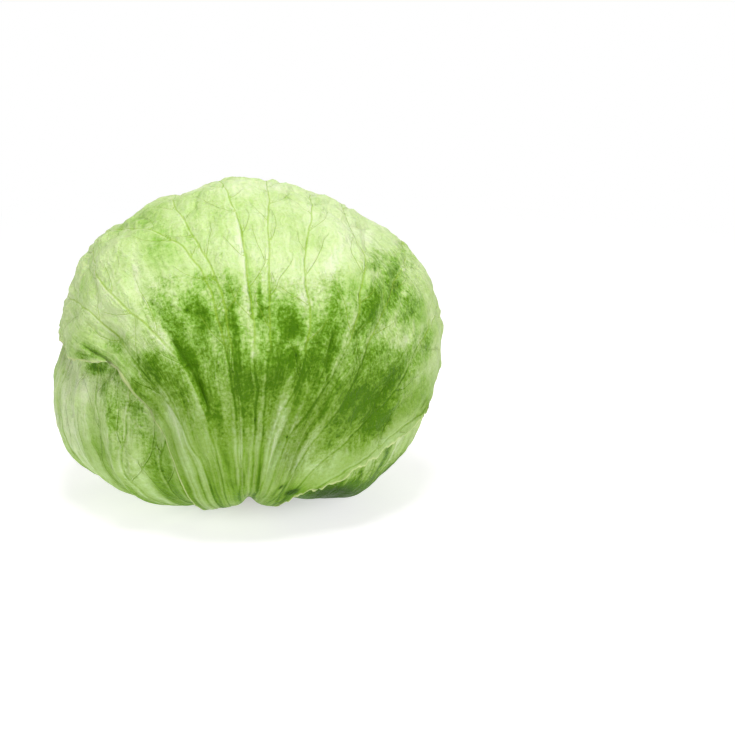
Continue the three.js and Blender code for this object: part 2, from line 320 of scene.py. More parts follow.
def cup_leaf(number, azimuth, phase):
    return make_leaf(
        f"cup_leaf_{number}", azimuth, 22, phase, cells=120, width=70, length=178, base=16, round=0.22,
        lobe=1.5, gap=LEAF_GAP + 0.6, waves=7, flare=0.5, flare_band=14, pleat=0.3, pleat_every=24,
        slot="inner_leaf",
    )


LEAVES = [
    cup_leaf(1, -40, 0.4),
    cup_leaf(2, 58, 2.1),
    cup_leaf(3, 138, 3.9),
    cup_leaf(4, -128, 5.3),
    make_leaf("wrapper_leaf_right", 8, 8, 1.2, cells=190, width=66, length=138),
    make_leaf("wrapper_leaf_back", 98, 10, 2.6, cells=230, width=74, length=158),
    make_leaf("wrapper_leaf_left", 176, 8, 4.4, cells=190, width=62, length=140),
    # The front right leaf, with painted shade low down where the front leaf's margin hangs over it
    make_leaf(
        "wrapper_leaf_front_right", -38, 2, 0.3, cells=180, width=56, length=112, tight_below=1.2,
    ),
    make_leaf(
        "wrapper_leaf_front_left", -146, 4, 5.1, cells=220, width=66, length=124,
        pleat=1.6, pleat_every=15, streak=1.0, pucker=0.3,
    ),
    make_leaf(
        "wrapper_leaf_front", -90, 15, 0.9, cells=276, guides=FRONT_GUIDES, gap=LEAF_GAP + 0.4,
        waves=13, flare=1.7, flare_band=14, pleat=0.6, ruffle=1.1,
        ridges=[
            (2.6, 6, [(-58, 40), (-42, 20), (-27, 6), (-18, -8), (-12, -26)]),
            (1.4, 6, [(-10, 74), (0, 30), (3, -8), (2, -40)]),
            (1.2, 7, [(34, 60), (35, 20), (26, -6), (14, -36)]),
        ],
        curls=[(3.5, 7, (-72, 58)), (2.5, 7, (-50, 80))],
    ),
]
FRONT_LEFT, FRONT = LEAVES[-2:]


def layers_at(d):
    """Every leaf's share of the distance from the middle in the directions d."""
    layers = []
    for leaf in LEAVES:
        x, y = to_flat(leaf["axes"], d)
        inward = margin_distance(leaf, d, x, y)
        blade = thickness(leaf, x, y)
        layers.append({
            "blade": blade, "inward": inward, "gap": leaf["gap"], "room": leaf["gap"] + blade,
            "rise": stand_off(leaf, x, y, np.maximum(inward, 0)),
            "cover": smooth(-DRAPE, -RIM_COVER, inward),
        })
    return layers


def heart_radius(d, layers):
    """Distance from the middle to the place that all the leaves leave for the heart."""
    return head_radius(d) - sum(layer["cover"] * layer["room"] for layer in layers)


def leaf_form(k, d):
    """Outer distance from the middle of leaf k, its distance from the margin, and how bare it lies."""
    layers = layers_at(d)
    below = heart_radius(d, layers)
    for layer in layers[:k]:
        below = below + layer["cover"] * (layer["room"] + layer["rise"])
    outer = below + layers[k]["room"] + layers[k]["rise"]
    bare = np.ones(d.shape[:-1])
    for layer in layers[k + 1 :]:
        bare = bare * smooth(0, -7, layer["inward"])
    return outer, layers[k]["inward"], bare


# Camera: where the photograph was taken from, and where its pixels fall on the head

VIEW_ABOVE = 15  # degrees above the horizon
PICTURE_SIDE = 735  # pixels
PIXEL = 0.4456  # mm at the head's middle
MIDDLE_PIXEL = (247, 345)
LENS = 85
SENSOR = 36

MIDDLE = np.array([0, 0, MIDDLE_HEIGHT])
AHEAD = np.array([0, math.cos(math.radians(VIEW_ABOVE)), -math.sin(math.radians(VIEW_ABOVE))])
SIDEWAYS = np.array([1.0, 0, 0])
UPWARDS = np.cross(SIDEWAYS, AHEAD)
CENTRE = PICTURE_SIDE / 2
VIEW_DISTANCE = PICTURE_SIDE * PIXEL / 2 / (SENSOR / 2 / LENS)
AIM = MIDDLE + PIXEL * (
    (CENTRE - MIDDLE_PIXEL[0]) * SIDEWAYS - (CENTRE - MIDDLE_PIXEL[1]) * UPWARDS
)
EYE = AIM - VIEW_DISTANCE * AHEAD


def on_front_leaf(pixels):
    """The places in the front leaf's flat drawing that these pixels of the photograph show."""
    px = np.array(pixels, float)
    ray = unit(
        VIEW_DISTANCE * AHEAD
        + PIXEL * ((px[:, :1] - CENTRE) * SIDEWAYS - (px[:, 1:] - CENTRE) * UPWARDS)
    )
    # Every half millimetre of the rays, from in front of the head to past its middle
    steps = np.linspace(VIEW_DISTANCE - 110, VIEW_DISTANCE + 30, 281)
    places = EYE + ray[:, None, :] * steps[None, :, None] - MIDDLE
    above = np.linalg.norm(places, axis=-1) - head_radius(unit(places))
    first = np.argmax(above < 0, axis=1)
    first = np.where(above.min(axis=1) < 0, first, np.argmin(above, axis=1))
    d = unit(places[np.arange(len(px)), first])
    return np.stack(to_flat(FRONT["axes"], d), axis=-1)


# Veins, folds and places on the side shown, all in the photograph's pixels. Lines run from base to tip.

FRONT_VEINS = {
    "midrib": [
        (249, 493), (254, 434), (256, 384), (254, 334), (251, 299), (246, 264), (239, 225), (221, 187),
    ],
    "right of the midrib": [
        (256, 480), (262, 430), (266, 384), (269, 334), (270, 289), (269, 247), (268, 197),
    ],
    "cleft": [
        (252, 497), (259, 483), (276, 421), (294, 384), (304, 347), (307, 309), (304, 279), (310, 220),
    ],
    "right": [
        (262, 490), (284, 440), (318, 390), (348, 334), (353, 299), (357, 264), (351, 242), (340, 205),
    ],
    "far right": [(268, 494), (310, 440), (352, 380), (372, 330), (388, 290), (402, 262), (412, 240)],
    "left of the midrib": [
        (245, 490), (243, 430), (240, 384), (229, 329), (224, 299), (214, 272), (199, 245), (179, 212),
    ],
    "left": [
        (241, 492), (238, 430), (232, 374), (214, 299), (199, 269), (182, 247), (160, 236), (134, 232),
    ],
    "ridge": [
        (232, 498), (215, 430), (189, 371), (157, 329), (139, 314), (122, 299), (105, 274), (97, 247),
    ],
    "far left": [(226, 500), (198, 440), (168, 396), (140, 358), (114, 330), (92, 310), (74, 300)],
    "outer right": [(272, 496), (330, 452), (385, 400), (415, 350), (430, 312)],
    "edge right": [(276, 498), (345, 462), (400, 426), (433, 388)],
}
# Folds with a crest on the left and a drop on the right, each with its height and reach in mm.
# The crest is painted pale as lit, and the drop painted dark as shadow.
FRONT_FOLDS = {
    "midrib": {
        "line": [(252, 352), (250, 318), (248, 292), (246, 262), (240, 232), (234, 200)],
        "crest": (1.0, 4), "drop": (0.7, 1.4),
    },
    "left ridge": {
        "line": [(216, 424), (201, 390), (189, 369), (176, 346), (160, 316)],
        "crest": (1.1, 6), "drop": (0.8, 3.2),
    },
    "left valley": {
        "line": [(232, 470), (222, 446), (212, 420), (204, 400)],
        "crest": (0.3, 4), "drop": (0.45, 2),
    },
    "cleft": {
        "line": [(251, 500), (264, 468), (277, 436), (288, 408), (299, 367)],
        "crest": (0.4, 4), "drop": (0.7, 1.6),
    },
    "right crease": {
        "line": [(321, 402), (322, 378), (323, 352), (328, 330), (331, 316)],
        "crest": (0.3, 3), "drop": (0.5, 1.4),
    },
    "flap": {
        "line": [(118, 367), (106, 359), (96, 352), (86, 344)],
        "crest": (0.9, 4), "drop": (0.6, 3),
    },
    "top": {
        "line": [(282, 205), (287, 196), (290, 184)],
        "crest": (0.4, 3), "drop": (0.5, 1.4),
    },
}
# The rows below are soft ellipses: middle, size, turn in degrees and weight.
# Small holes, painted dark as the shade seen through them, dark spots, and painted shade on the
# leaf at the lower right
HOLES_SPOTS_AND_PAINTED_SHADE = [
    ((255, 420), (1.6, 5), 5, 1), ((287, 437), (1.9, 3.2), 10, 1), ((221, 254), (1.3, 1.3), 0, 1),
    ((187, 310), (2.4, 2.8), 20, 1), ((281, 487), (5, 1.7), -42, 1), ((292, 492), (8, 2.6), -18, 1),
    ((296, 355), (2, 4), -10, 1), ((334, 494), (40, 12), -6, 1.05),
]
# Where the leaves stand off what they lie on and look pale, with a painted highlight and painted light
# on the top, or greener if the weight is negative, which across the base is painted shade
PALE_AND_PAINTED_LIGHT_PLACES = [
    ((257, 352), (6, 16), 4, 1), ((136, 272), (4, 30), -6, 0.8), ((349, 330), (5, 22), 12, 0.8),
    ((302, 350), (3, 14), -28, 0.8), ((165, 345), (9, 16), -30, 0.4), ((224, 402), (5, 26), -12, 0.8),
    ((240, 462), (7, 30), -2, 0.6), ((306, 455), (10, 26), 34, 0.9), ((214, 345), (4, 14), -18, 0.8),
    ((330, 270), (12, 14), 0, 0.8), ((302, 300), (7, 12), 0, 0.8), ((176, 425), (5, 26), -24, 0.8),
    ((300, 212), (46, 26), 10, 0.5), ((352, 240), (26, 30), 40, 0.5), ((238, 186), (40, 9), 0, 0.6),
    ((66, 420), (14, 56), 0, 0.6), ((98, 474), (22, 18), 30, 0.5), ((85, 400), (5, 30), 0, 0.5),
    ((268, 470), (6, 22), 12, 0.5), ((205, 470), (6, 26), -10, 0.5), ((155, 236), (34, 30), 0, -0.4),
    ((235, 486), (70, 24), 0, -0.6), ((240, 420), (14, 34), 0, 0.5),
]
# Swellings and hollows of all the leaves, with weights in mm: the rounded lobes at the bottom of the
# front and the notch between them, crumpled margins at the shoulders, and dents in the left side
BUMPS = [
    ((202, 492), (28, 24), 0, 2.8), ((273, 490), (15, 20), 0, 1.6), ((249, 498), (6, 20), 0, -3),
    ((97, 241), (7, 6), 0, 3), ((145, 207), (12, 6), -25, 2.8), ((118, 224), (18, 8), -35, 0.8),
    ((392, 236), (22, 14), 45, 2), ((62, 330), (12, 26), 0, -1.2),
    ((352, 490), (26, 16), 0, 2.2), ((74, 276), (10, 20), 20, -1.6),
]
# Where the front leaf lies tight and looks green: a broad band, and deeper patches on it. The patches
# towards the right edge are partly painted shadow.
TIGHT_BAND = ((275, 360), (150, 86), 0.62)
TIGHT_PATCHES = [
    ((170, 318), (15, 30), -38, 0.9), ((186, 352), (9, 34), -30, 1), ((205, 398), (7, 40), -24, 0.9),
    ((200, 318), (18, 30), -30, 0.85), ((236, 345), (8, 60), -6, 0.9), ((168, 281), (16, 5), 15, 0.6),
    ((205, 283), (17, 8), 0, 0.5), ((259, 308), (4, 34), 0, 0.9), ((258, 350), (8, 30), 0, 0.7),
    ((283, 318), (12, 26), -4, 0.8), ((293, 322), (12, 30), 6, 1), ((280, 380), (12, 40), 4, 0.8),
    ((322, 350), (20, 62), 8, 1), ((352, 348), (14, 38), 14, 0.7), ((318, 410), (30, 50), 24, 0.9),
    ((386, 292), (14, 46), 22, 0.95), ((376, 262), (12, 10), 0, 0.7), ((122, 344), (18, 8), -12, 0.5),
    ((152, 372), (15, 22), -36, 0.8), ((88, 354), (12, 6), 10, 0.6), ((240, 300), (3, 18), -4, 0.7),
    ((345, 395), (14, 50), 30, 0.9), ((396, 372), (14, 46), 38, 0.7), ((402, 316), (14, 44), 22, 0.5),
    ((372, 425), (14, 32), 48, 0.7), ((292, 362), (9, 22), 12, 0.9), ((142, 400), (9, 24), -30, 0.7),
]
# The same on the front left leaf, beside the front leaf's margin, partly painted shade from that margin
TIGHT_AND_SHADED_BESIDE = [
    ((100, 370), (14, 9), 0, 0.8), ((126, 392), (12, 36), -24, 0.7), ((66, 377), (4, 8), 0, 0.5),
    ((110, 404), (7, 48), -6, 0.6), ((146, 440), (12, 44), -22, 0.4), ((124, 450), (7, 44), -16, 0.4),
]

# Half widths of the veins in mm
VEIN_BASE_WIDTH = 0.5
VEIN_TIP_WIDTH = 0.42
BRANCH_WIDTH = 0.22

# Steps and distances along a vein in degrees
VEIN_STEP = 2
BRANCH_STEP = 2.2
BEYOND_STEP = 6
MEETING = 1.6  # how near another main vein a side vein ends


def beyond(line, length, bend):
    """The line, carried on past its last place in steps that bend slowly."""
    line = [np.array(p, float) for p in line]
    way = math.atan2(*(line[-1] - line[-2])[::-1])
    for _ in range(int(length / BEYOND_STEP)):
        way += math.radians(bend)
        line.append(line[-1] + BEYOND_STEP * np.array([math.cos(way), math.sin(way)]))
    return np.array(line)


def resample(line, step):
    """The smooth curve through the line's places, in even steps of about this many degrees."""
    at = smooth_line(line)
    fine = at(np.linspace(0, 1, 40 * len(line)))
    run = np.concatenate([[0], np.cumsum(np.linalg.norm(np.diff(fine, axis=0), axis=1))])
    wanted = np.linspace(0, run[-1], max(3, int(run[-1] / step)))
    return np.stack([np.interp(wanted, run, fine[:, i]) for i in (0, 1)], axis=-1)


def branches(line, others, first, every, chance):
    """Side veins that leave a main vein by turns, arch towards its tip and end at the next one."""
    grown = []
    side = 1
    taken = np.vstack(others) if others else np.full((1, 2), 1e6)
    for i in range(first, len(line) - 2, every):
        way = math.atan2(*(line[i + 1] - line[i])[::-1])
        turn = side * math.radians(chance.uniform(30, 50))
        place = line[i]
        path = [place]
        for _ in range(chance.integers(4, 12)):
            place = place + BRANCH_STEP * np.array([math.cos(way + turn), math.sin(way + turn)])
            turn = turn * chance.uniform(0.78, 0.98) + chance.normal(0, 0.13)
            path.append(place)
            if np.hypot(*(taken - place).T).min() < MEETING:
                break
        grown.append((np.array(path), BRANCH_WIDTH, BRANCH_WIDTH * 0.6))
        side = -side
    return grown


def wander(line, seed):
    """The line with small bends, as a vein has."""
    way = unit(np.gradient(line, axis=0))
    run = np.arange(len(line)) * 0.33
    sway = 0.55 * noise(stack(run, seed * 3.1, 0.5)) * smooth(0, 6, np.arange(len(line)))
    return line + sway[:, None] * way[:, ::-1] * (1, -1)


def front_veins():
    """The front leaf's main veins as the photograph shows them, with their side veins."""
    chance = np.random.default_rng(5)
    mains = []
    for number, waypoints in enumerate(FRONT_VEINS.values()):
        line = beyond(on_front_leaf(waypoints), 36, chance.uniform(-1.5, 1.5))
        mains.append(wander(resample(line, VEIN_STEP), number))
    lines = [(line, VEIN_BASE_WIDTH, VEIN_TIP_WIDTH) for line in mains]
    for i, line in enumerate(mains):
        lines += branches(line, mains[:i] + mains[i + 1 :], len(line) // 3, 5, chance)
    return lines


def fan_veins(leaf, seed):
    """Main veins that fan out from the base of a leaf, with their side veins."""
    chance = np.random.default_rng(seed)
    mains = []
    for u in np.linspace(-0.86, 0.86, 9):
        w = np.linspace(0.02, 0.97, 34)
        sway = 0.05 * noise(stack(5 * w, 9 * u, seed)) * smooth(0, 0.4, w)
        line = np.stack(leaf["outline"](u * (0.75 + 0.25 * w) + sway, w), axis=-1)
        mains.append(wander(resample(line, VEIN_STEP), seed + u))
    lines = [(line, VEIN_BASE_WIDTH * 1.2, VEIN_TIP_WIDTH) for line in mains]
    for i, line in enumerate(mains):
        lines += branches(line, mains[:i] + mains[i + 1 :], 20, 6, chance)
    return lines


def lay_lines(x, y, lines, reach=7):
    """For each place, the signed distance in mm to the nearest line, its size, and the line's width.

    A line comes with its widths at both ends. reach is the largest distance that counts.
    """
    x, y = x * MM_PER_DEGREE, y * MM_PER_DEGREE
    side = np.full(x.shape, float(reach))
    least = np.full(x.shape, float(reach))
    width = np.full(x.shape, BRANCH_WIDTH)
    for line, start, end in lines:
        points = line * MM_PER_DEGREE
        widths = np.linspace(start, end, len(points))
        for (ax, ay), (bx, by), half in zip(points, points[1:], widths):
            near = (
                (x > min(ax, bx) - reach) & (x < max(ax, bx) + reach)
                & (y > min(ay, by) - reach) & (y < max(ay, by) + reach)
            )
            if not near.any():
                continue
            px, py = x[near] - ax, y[near] - ay
            dx, dy = bx - ax, by - ay
            t = np.clip((px * dx + py * dy) / max(dx * dx + dy * dy, 1e-9), 0, 1)
            size = np.hypot(px - t * dx, py - t * dy)
            closer = size < least[near]
            chosen = np.flatnonzero(near.ravel())[closer]
            sign = np.where(px * dy - py * dx > 0, 1, -1)
            least.ravel()[chosen] = size[closer]
            side.ravel()[chosen] = (size * sign)[closer]
            width.ravel()[chosen] = half
    return side, least, width


def in_ellipse(px, py, middle, size, turn):
    """0 at the middle of an ellipse and 1 on its line."""
    a = math.radians(turn)
    dx, dy = px - middle[0], py - middle[1]
    across = dx * math.cos(a) + dy * math.sin(a)
    along = dy * math.cos(a) - dx * math.sin(a)
    return np.hypot(across / size[0], along / size[1])


BORDER_LUMP = 9  # mm from lump to lump along the borders of the tight patches
BORDER_STRAY = (6, 11)  # how many pixels they stray across and down


def tight_field(pixels_xy, ball, ellipses):
    """How tight the leaf lies at each place of the photograph's picture, from 0 to about 1."""
    px = pixels_xy[0] + BORDER_STRAY[0] * rough_noise(ball / BORDER_LUMP + 31)
    py = pixels_xy[1] + BORDER_STRAY[1] * rough_noise(ball / BORDER_LUMP + 57)
    total = np.zeros(px.shape)
    for middle, size, turn, weight in ellipses:
        total = np.maximum(total, weight * smooth(1.9, 0.2, in_ellipse(px, py, middle, size, turn)))
    return total


def tight_band(pixels_xy):
    """How tight the leaf lies in the broad band."""
    middle, size, most = TIGHT_BAND
    return most * smooth(1.3, 0.5, in_ellipse(*pixels_xy, middle, size, 0))


def patches(pixels_xy, ellipses):
    """The sum of soft elliptical patches in the photograph's pixels."""
    return sum(
        weight * bell(in_ellipse(*pixels_xy, middle, size, turn), 1)
        for middle, size, turn, weight in ellipses
    )


def facing_lens(d):
    """1 on the side of the head that the photograph shows, and 0 behind its outline."""
    return smooth(0.4, 0.05, d @ AHEAD)


FOLD_STEP = 1.5  # degrees
FOLD_REACH = 16  # mm


def fold_fields(x, y):
    """Rise in mm, and the painted light on the crests and the painted shadow on the drops of the front
    leaf's folds.
    """
    rise, pale, shade = np.zeros(x.shape), np.zeros(x.shape), np.zeros(x.shape)
    for fold in FRONT_FOLDS.values():
        (height, crest_reach), (depth, drop_reach) = fold["crest"], fold["drop"]
        line = resample(on_front_leaf(fold["line"]), FOLD_STEP)
        # A width from 0 to 1 tells how far along the fold each place lies.
        side, reach, along = lay_lines(x, y, [(line, 0, 1)], reach=FOLD_REACH)
        taper = smooth(0, 0.2, along) * smooth(1, 0.7, along)
        left = smooth(0.9, -0.7, side)
        drop = bell(reach, drop_reach) * (1 - left) * taper
        rise += height * bell(reach, crest_reach) * left * taper - depth * drop
        # The crest is painted pale as lit, and the drop painted dark as shadow.
        pale += 0.6 * min(height, 1) * bell(reach, 0.7 * crest_reach) * left * taper
        shade += min(depth, 1) * drop
    return rise, pale, shade


def seen_at(points):
    """The pixels of the photograph where these places in mm fall."""
    to = points - EYE
    depth = to @ AHEAD
    scale = VIEW_DISTANCE / (depth * PIXEL)
    return CENTRE + (to @ SIDEWAYS) * scale, CENTRE - (to @ UPWARDS) * scale


# Meshes


def piece(name, places, faces, slot, material, replaced):
    """A mesh object from places in mm, which rides on the head and replaces one of its solids."""
    mesh = bpy.data.meshes.new(name)
    mesh.from_pydata((places * METRE).tolist(), [], faces)
    mesh.polygons.foreach_set("use_smooth", np.ones(len(mesh.polygons), bool))
    mesh.materials.append(material)
    mesh.validate()
    thing = bpy.data.objects.new(name, mesh)
    scene.collection.objects.link(thing)
    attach(thing, "root")
    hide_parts(replaced)
    return thing


def put(thing, name, values):
    """Store one value or vector for each point of a mesh, for its material."""
    kind = "FLOAT_VECTOR" if values.ndim == 2 else "FLOAT"
    field = "vector" if values.ndim == 2 else "value"
    attribute = thing.data.attributes.new(name, kind, "POINT")
    attribute.data.foreach_set(field, np.ascontiguousarray(values, np.float32).ravel())


def upsampler(coarse, fine):
    """A matrix that carries values on a coarse row of places over to a fine one, smoothly."""
    at = np.linspace(0, coarse, fine + 1)
    i = np.clip(np.floor(at).astype(int), 0, coarse - 1)
    t = at - i
    weights = [
        -0.5 * t + t**2 - 0.5 * t**3,
        1 - 2.5 * t**2 + 1.5 * t**3,
        0.5 * t + 2 * t**2 - 1.5 * t**3,
        -0.5 * t**2 + 0.5 * t**3,
    ]
    matrix = np.zeros((fine + 1, coarse + 1))
    for offset, weight in zip((-1, 0, 1, 2), weights):
        np.add.at(matrix, (np.arange(fine + 1), np.clip(i + offset, 0, coarse)), weight)
    return matrix


FORM_CELLS = 72  # along each side of the grid on which a leaf's main form is worked out

# Sizes in mm
MARGIN_THICKNESS = 0.28
MARGIN_WIDTH = 7  # from the margin to where a leaf is as thick as elsewhere
REST_GAP = 0.25  # between the floor and the lowest leaf
HALF_WIDTH, FULL_LENGTH = 95, 140  # of a leaf, about, for the size of its teeth
TEETH = 5.5  # from one ragged tooth of a margin to the next
FINE_TEETH = 2.4
PUCKERS = 12  # from one pucker of a leaf to the next
CRINKLES = 4.5
RUFFLES = 8
STREAKS = 70  # the length of one streak
STREAK_COUNT = 11  # streaks side by side from the middle line to the margin
CRINKLE_HEIGHT = 0.3
QUILT_HEIGHT = 0.95  # of the leaf between its veins
RIB_HEIGHT = 0.35
UPPER_DROP = 0.5  # how much lower the relief lies above the leaf's foot
GRAIN_WIDTH = 110  # from a leaf's middle line to its margin, in the pattern of its grain

LOWER_ZONE = (320, 430)  # the rows of pixels over which the front leaf passes into its lower part


def fine_places(leaf, cells):
    """The leaf's outer face on a fine grid of (w, u), with what its relief and colours are made from."""
    k = LEAVES.index(leaf)
    coarse = np.linspace(0, 1, FORM_CELLS + 1)
    w, u = np.meshgrid(coarse, 2 * coarse - 1, indexing="ij")
    d = to_ball(leaf["axes"], *leaf["outline"](u, w))
    carry = upsampler(FORM_CELLS, cells)
    radius, inward, bare = (carry @ field @ carry.T for field in leaf_form(k, d))
    inward = np.maximum(inward, 0)
    bare = np.clip(bare, 0, 1)
    fine = np.linspace(0, 1, cells + 1)
    w, u = np.meshgrid(fine, 2 * fine - 1, indexing="ij")
    smooth_ball = to_ball(leaf["axes"], *leaf["outline"](u, w)) * BALL_RADIUS
    teeth = 0.9 * rough_noise(smooth_ball / TEETH) + 0.5 * noise(smooth_ball / FINE_TEETH)
    jag = teeth * smooth(5, 0, inward) * smooth(0.15, 0.4, w)
    reach_u, reach_w = 1 + jag / HALF_WIDTH * np.abs(u) ** 8, 1 + jag / FULL_LENGTH * w**8
    x, y = leaf["outline"](u * reach_u, w * reach_w)
    return {
        "u": u, "w": w, "x": x, "y": y, "d": to_ball(leaf["axes"], x, y),
        "radius": radius, "inward": inward, "bare": bare, "seed": 3.7 * k,
    }


def leaf_relief(leaf, at, vein_reach, vein_width):
    """Height in mm of the fine form of a leaf's outer face."""
    ball = at["d"] * BALL_RADIUS
    w, u, seed = at["w"], at["u"], at["seed"]
    length = leaf["length"] * MM_PER_DEGREE
    grain = stack(STREAK_COUNT * u, w * length / STREAKS, seed)
    streaks = 1.3 * noise(grain) + 0.7 * noise(grain * (2.6, 1.6, 1) + 9) * smooth(0.1, 0.4, w)
    lengthwise = leaf["streak"] * streaks * smooth(0.1, 0.3, w) * smooth(1.05, 0.6, w)
    puckers = leaf["pucker"] * rough_noise(ball / PUCKERS + seed) * smooth(0.3, 0.6, w)
    crinkle = CRINKLE_HEIGHT * rough_noise(ball / CRINKLES + seed, 2) * smooth(0.25, 0.5, w)
    quilt = QUILT_HEIGHT * smooth(0.3, 5.5, vein_reach) * smooth(0.3, 0.6, w)
    quilt = quilt * smooth(0, 8, at["inward"])
    ribs = RIB_HEIGHT * bell(vein_reach, 0.7 + 0.9 * vein_width) * smooth(0.6, 0.2, w)
    waves = leaf["ruffle"] * (0.3 + noise(ball / RUFFLES + seed))
    ruffle = waves * smooth(9, 0, at["inward"]) * smooth(0.15, 0.4, w)
    rise = lengthwise + puckers + crinkle + quilt + ribs + ruffle - UPPER_DROP * smooth(0.2, 0.5, w)
    # Where another leaf covers this one, nothing stands up into it.
    return np.where(rise > 0, rise * at["bare"], rise * (0.3 + 0.7 * at["bare"]))


def leaf_faces(n):
    """Faces of an outer grid of n cells a side, an inner one of half as many, and the rim between."""
    half = n // 2
    across, inner_across = n + 1, half + 1
    start = across * across
    faces = []
    for j in range(n):
        for i in range(n):
            a = j * across + i
            faces.append((a, a + 1, a + 1 + across, a + across))
    for j in range(half):
        for i in range(half):
            a = start + j * inner_across + i
            faces.append((a, a + inner_across, a + 1 + inner_across, a + 1))
    outer = [(i, 0) for i in range(n)] + [(n, j) for j in range(n)]
    outer += [(i, n) for i in range(n, 0, -1)] + [(0, j) for j in range(n, 0, -1)]
    ring = [j * across + i for i, j in outer]
    inner = [start + (j // 2) * inner_across + i // 2 for i, j in outer[::2]]
    for m in range(len(inner)):
        a0, a1, a2 = ring[2 * m], ring[2 * m + 1], ring[(2 * m + 2) % len(ring)]
        b0, b1 = inner[m], inner[(m + 1) % len(inner)]
        faces += [(a0, b0, a1), (a1, b0, b1), (a1, b1, a2)]
    return faces


def leaf_places(leaf, at, relief):
    """The outer face's places in mm on its grid, and those of the inner face on every other one."""
    d = at["d"]
    on_head = seen_at(d * head_radius(d)[..., None] + MIDDLE)
    radius = at["radius"] + relief + patches(on_head, BUMPS) * facing_lens(d)
    # No part of a leaf reaches below the floor.
    low = np.maximum(-d[..., 2], 1e-6)
    radius = np.where(d[..., 2] < 0, np.minimum(radius, (MIDDLE_HEIGHT - REST_GAP) / low), radius)
    full = smooth(0, MARGIN_WIDTH, at["inward"])
    thick = MARGIN_THICKNESS + (LEAF_THICKNESS - MARGIN_THICKNESS) * full
    outer = d * radius[..., None] + MIDDLE
    inner = (d * (radius - thick)[..., None] + MIDDLE)[::2, ::2]
    return outer, inner


def leaf_looks(leaf, at, outer, pale, shade):
    """Shares from 0 to about 1 for the material: tight, low on the leaf, pale and shaded. Paleness is
    partly painted light, and the others partly painted shade.
    """
    ball = at["d"] * BALL_RADIUS
    seen = seen_at(outer)
    ahead = facing_lens(at["d"])
    if leaf is FRONT:
        tight = tight_field(seen, ball, TIGHT_PATCHES)
        tight = np.maximum(tight, tight_band(seen)) * ahead
        lower = smooth(*LOWER_ZONE, seen[1]) * ahead
    else:
        streaked = rough_noise(stack(5 * at["u"], 2.4 * at["w"], at["seed"] + 0.5), 3)
        tight = smooth(0.05, 0.9, streaked) * smooth(0.15, 0.5, at["w"])
        # Low on the leaf, where the front leaf's margin hangs over it: painted shade
        tight = np.maximum(tight, leaf["tight_below"] * smooth(-0.4, -0.7, at["d"][..., 2]))
        # Greener under another leaf and just past its margin, partly painted shade
        tight = np.maximum(tight, 0.8 * smooth(1, 0.1, at["bare"]))
        lower = smooth(0.8, 0.35, at["w"])
    if leaf is FRONT_LEFT:
        tight = np.maximum(tight * (1 - ahead), tight_field(seen, ball, TIGHT_AND_SHADED_BESIDE) * ahead)
    return {
        "tight": tight, "lower": lower, "pale": pale + patches(seen, PALE_AND_PAINTED_LIGHT_PLACES) * ahead,
        "shade": np.maximum(shade, patches(seen, HOLES_SPOTS_AND_PAINTED_SHADE)) * ahead,
    }


def make_leaf_piece(leaf, lines, material):
    """A leaf with its relief, and what its material reads at each point."""
    at = fine_places(leaf, leaf["cells"])
    side, reach, width = lay_lines(at["x"], at["y"], lines)
    folds = pale = shade = np.zeros(at["x"].shape)
    if leaf is FRONT:
        folds, pale, shade = fold_fields(at["x"], at["y"])
    outer, inner = leaf_places(leaf, at, leaf_relief(leaf, at, reach, width) + folds)
    places = np.vstack([outer.reshape(-1, 3), inner.reshape(-1, 3)])
    faces = leaf_faces(leaf["cells"])
    thing = piece(leaf["name"] + "_fine", places, faces, leaf["slot"], material, leaf["name"])
    length = leaf["length"] * MM_PER_DEGREE
    fields = {
        "grain": stack(GRAIN_WIDTH * at["u"], length * at["w"], at["seed"]),
        "vein_side": side, "vein_reach": reach, "vein_width": width,
        "inward": at["inward"], "tip": at["w"],
    }
    fields.update(leaf_looks(leaf, at, outer, pale, shade))
    for name, values in fields.items():
        both = [face.reshape(-1, *values.shape[2:]) for face in (values, values[::2, ::2])]
        put(thing, name, np.concatenate(both))


# Materials


def linear(red, green, blue):
    """A colour given as on screen, from 0 to 255, in Blender's linear values."""

    def one(c):
        c /= 255
        return c / 12.92 if c <= 0.04045 else ((c + 0.055) / 1.055) ** 2.4

    return (one(red), one(green), one(blue), 1.0)


